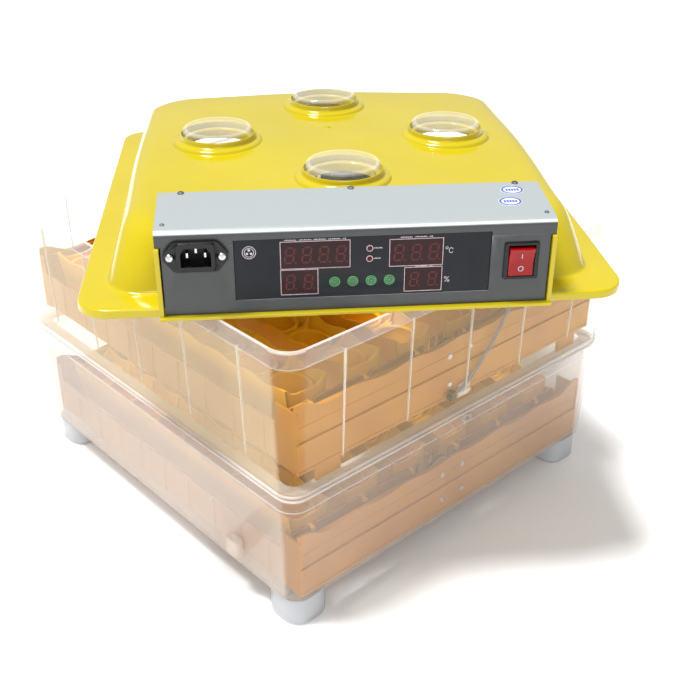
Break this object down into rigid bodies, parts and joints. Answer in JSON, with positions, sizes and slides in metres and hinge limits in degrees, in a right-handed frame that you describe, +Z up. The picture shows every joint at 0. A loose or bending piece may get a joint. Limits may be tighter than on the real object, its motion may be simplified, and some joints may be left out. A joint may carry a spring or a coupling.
{
  "type": "egg incubator",
  "caption": "Stacked clear boxes with tilting egg strips and turning motors under a domed yellow lid with round windows and a grey control housing.",
  "frame": {"origin": "centre of the overall footprint, on the floor under the feet", "axes": "+Z up; -Y is the front long face of the boxes with the motors; the lid is set askew by 36.9 degrees about Z"},
  "size_m": [0.6194, 0.6226, 0.374],
  "materials": {
    "clear_polypropylene": "slightly milky clear moulded polypropylene",
    "frosted_polypropylene": "frosted natural polypropylene",
    "yellow_abs": "high-gloss bright yellow ABS",
    "orange_abs": "satin orange-yellow ABS",
    "grey_painted_steel": "folded sheet steel, smooth grey paint",
    "slate_fascia": "dark slate printed overlay",
    "display_window": "dark maroon tinted display window",
    "black_nylon": "black moulded nylon",
    "red_rocker": "glossy translucent red",
    "green_button": "green domed membrane button",
    "clear_styrene": "clear moulded styrene",
    "bright_steel": "plated steel",
    "grey_cable": "grey PVC twin lead",
    "circuit_board": "green solder mask",
    "indicator_red": "red lamp lens"
  },
  "bodies": {
    "base": {"base_box": "clear_polypropylene", "foot_front_left": "frosted_polypropylene", "foot_front_right": "frosted_polypropylene", "foot_back_left": "frosted_polypropylene", "foot_back_right": "frosted_polypropylene", "water_filler": "frosted_polypropylene", "lower_tray_frame": "orange_abs", "lower_turn_motor": "bright_steel"},
    "upper_box": {"upper_box": "clear_polypropylene", "upper_tray_frame": "orange_abs", "upper_turn_motor": "bright_steel", "motor_cable": "grey_cable", "lead_clip": "black_nylon", "lead_socket": "black_nylon"},
    "lid_carrier": {"sensor_probe": "bright_steel"},
    "lid": {"lid_shell": "yellow_abs", "control_cover": "grey_painted_steel", "control_fascia": "slate_fascia", "display_timer": "display_window", "display_days": "display_window", "display_temperature": "display_window", "display_humidity": "display_window", "lamp_upper": "indicator_red", "lamp_lower": "indicator_red", "power_inlet": "black_nylon", "switch_bezel": "black_nylon", "window_front": "clear_styrene", "window_left": "clear_styrene", "window_right": "clear_styrene", "window_back": "clear_styrene", "fan_frame": "black_nylon", "fan_guard": "bright_steel", "heater_ring": "bright_steel", "circuit_board": "circuit_board", "cover_screw_1": "bright_steel", "cover_screw_2": "bright_steel", "cover_screw_3": "bright_steel"},
    "fan_rotor": {"fan_rotor": "black_nylon"},
    "switch_rocker": {"switch_rocker": "red_rocker"},
    "button_set": {"button_set": "green_button"},
    "button_start": {"button_start": "green_button"},
    "button_up": {"button_up": "green_button"},
    "button_down": {"button_down": "green_button"},
    "lower_strip_1": {"lower_strip_1": "orange_abs"},
    "lower_strip_2": {"lower_strip_2": "orange_abs"},
    "lower_strip_3": {"lower_strip_3": "orange_abs"},
    "lower_strip_4": {"lower_strip_4": "orange_abs"},
    "lower_strip_5": {"lower_strip_5": "orange_abs"},
    "lower_strip_6": {"lower_strip_6": "orange_abs"},
    "lower_pull_bar": {"lower_pull_bar": "orange_abs"},
    "lower_crank": {"lower_crank": "black_nylon"},
    "upper_strip_1": {"upper_strip_1": "orange_abs"},
    "upper_strip_2": {"upper_strip_2": "orange_abs"},
    "upper_strip_3": {"upper_strip_3": "orange_abs"},
    "upper_strip_4": {"upper_strip_4": "orange_abs"},
    "upper_strip_5": {"upper_strip_5": "orange_abs"},
    "upper_strip_6": {"upper_strip_6": "orange_abs"},
    "upper_pull_bar": {"upper_pull_bar": "orange_abs"},
    "upper_crank": {"upper_crank": "black_nylon"}
  },
  "joints": [
    {"name": "upper_box_lift", "type": "slide", "parent": "base", "child": "upper_box", "axis": [0, 0, 1], "range_m": [0, 0.15]},
    {"name": "lid_lift", "type": "slide", "parent": "upper_box", "child": "lid_carrier", "axis": [0, 0, 1], "range_m": [0, 0.2]},
    {"name": "lid_turn", "type": "hinge", "parent": "lid_carrier", "child": "lid", "pos_m": [-0.03281, -0.01651, 0.2916], "axis": [0, 0, 1], "range_deg": [0, 36.92]},
    {"name": "lower_tilt_1", "type": "hinge", "parent": "base", "child": "lower_strip_1", "pos_m": [-0.1765, 0.0164, 0.0735], "axis": [0, 1, 0], "range_deg": [-45, 45]},
    {"name": "lower_tilt_2", "type": "hinge", "parent": "base", "child": "lower_strip_2", "pos_m": [-0.1125, 0.0164, 0.0735], "axis": [0, 1, 0], "range_deg": [-45, 45]},
    {"name": "lower_tilt_3", "type": "hinge", "parent": "base", "child": "lower_strip_3", "pos_m": [-0.0485, 0.0164, 0.0735], "axis": [0, 1, 0], "range_deg": [-45, 45]},
    {"name": "lower_tilt_4", "type": "hinge", "parent": "base", "child": "lower_strip_4", "pos_m": [0.0155, 0.0164, 0.0735], "axis": [0, 1, 0], "range_deg": [-45, 45]},
    {"name": "lower_tilt_5", "type": "hinge", "parent": "base", "child": "lower_strip_5", "pos_m": [0.0795, 0.0164, 0.0735], "axis": [0, 1, 0], "range_deg": [-45, 45]},
    {"name": "lower_tilt_6", "type": "hinge", "parent": "base", "child": "lower_strip_6", "pos_m": [0.1435, 0.0164, 0.0735], "axis": [0, 1, 0], "range_deg": [-45, 45]},
    {"name": "lower_bar_pin", "type": "hinge", "parent": "lower_strip_1", "child": "lower_pull_bar", "pos_m": [-0.1765, -0.1651, 0.0515], "axis": [0, 1, 0], "range_deg": [-45, 45]},
    {"name": "lower_crank_turn", "type": "hinge", "parent": "base", "child": "lower_crank", "pos_m": [-0.0185, -0.1736, 0.0615], "axis": [0, 1, 0], "continuous": true},
    {"name": "upper_tilt_1", "type": "hinge", "parent": "upper_box", "child": "upper_strip_1", "pos_m": [-0.1765, 0.0164, 0.206], "axis": [0, 1, 0], "range_deg": [-45, 45]},
    {"name": "upper_tilt_2", "type": "hinge", "parent": "upper_box", "child": "upper_strip_2", "pos_m": [-0.1125, 0.0164, 0.206], "axis": [0, 1, 0], "range_deg": [-45, 45]},
    {"name": "upper_tilt_3", "type": "hinge", "parent": "upper_box", "child": "upper_strip_3", "pos_m": [-0.0485, 0.0164, 0.206], "axis": [0, 1, 0], "range_deg": [-45, 45]},
    {"name": "upper_tilt_4", "type": "hinge", "parent": "upper_box", "child": "upper_strip_4", "pos_m": [0.0155, 0.0164, 0.206], "axis": [0, 1, 0], "range_deg": [-45, 45]},
    {"name": "upper_tilt_5", "type": "hinge", "parent": "upper_box", "child": "upper_strip_5", "pos_m": [0.0795, 0.0164, 0.206], "axis": [0, 1, 0], "range_deg": [-45, 45]},
    {"name": "upper_tilt_6", "type": "hinge", "parent": "upper_box", "child": "upper_strip_6", "pos_m": [0.1435, 0.0164, 0.206], "axis": [0, 1, 0], "range_deg": [-45, 45]},
    {"name": "upper_bar_pin", "type": "hinge", "parent": "upper_strip_1", "child": "upper_pull_bar", "pos_m": [-0.1765, -0.1651, 0.184], "axis": [0, 1, 0], "range_deg": [-45, 45]},
    {"name": "upper_crank_turn", "type": "hinge", "parent": "upper_box", "child": "upper_crank", "pos_m": [-0.0185, -0.1736, 0.194], "axis": [0, 1, 0], "continuous": true},
    {"name": "fan_spin", "type": "hinge", "parent": "lid", "child": "fan_rotor", "pos_m": [0.02102, 0.02798, 0.324], "axis": [0, 0, 1], "continuous": true},
    {"name": "power_switch", "type": "hinge", "parent": "lid", "child": "switch_rocker", "pos_m": [-0.03675, -0.26583, 0.3314], "axis": [0.7995, -0.6007, 0], "range_deg": [-16, 0]},
    {"name": "button_set_press", "type": "slide", "parent": "lid", "child": "button_set", "axis": [0.6007, 0.7995, 0], "range_m": [0, 0.0006], "stiffness_N_per_m": 300, "springref_m": -0.001},
    {"name": "button_start_press", "type": "slide", "parent": "lid", "child": "button_start", "axis": [0.6007, 0.7995, 0], "range_m": [0, 0.0006], "stiffness_N_per_m": 300, "springref_m": -0.001},
    {"name": "button_up_press", "type": "slide", "parent": "lid", "child": "button_up", "axis": [0.6007, 0.7995, 0], "range_m": [0, 0.0006], "stiffness_N_per_m": 300, "springref_m": -0.001},
    {"name": "button_down_press", "type": "slide", "parent": "lid", "child": "button_down", "axis": [0.6007, 0.7995, 0], "range_m": [0, 0.0006], "stiffness_N_per_m": 300, "springref_m": -0.001}
  ],
  "couplings": [
    {"joint": "lower_tilt_2", "follows": "lower_tilt_1", "ratio": 1},
    {"joint": "lower_tilt_3", "follows": "lower_tilt_1", "ratio": 1},
    {"joint": "lower_tilt_4", "follows": "lower_tilt_1", "ratio": 1},
    {"joint": "lower_tilt_5", "follows": "lower_tilt_1", "ratio": 1},
    {"joint": "lower_tilt_6", "follows": "lower_tilt_1", "ratio": 1},
    {"joint": "lower_bar_pin", "follows": "lower_tilt_1", "ratio": -1},
    {"joint": "upper_tilt_2", "follows": "upper_tilt_1", "ratio": 1},
    {"joint": "upper_tilt_3", "follows": "upper_tilt_1", "ratio": 1},
    {"joint": "upper_tilt_4", "follows": "upper_tilt_1", "ratio": 1},
    {"joint": "upper_tilt_5", "follows": "upper_tilt_1", "ratio": 1},
    {"joint": "upper_tilt_6", "follows": "upper_tilt_1", "ratio": 1},
    {"joint": "upper_bar_pin", "follows": "upper_tilt_1", "ratio": -1}
  ]
}
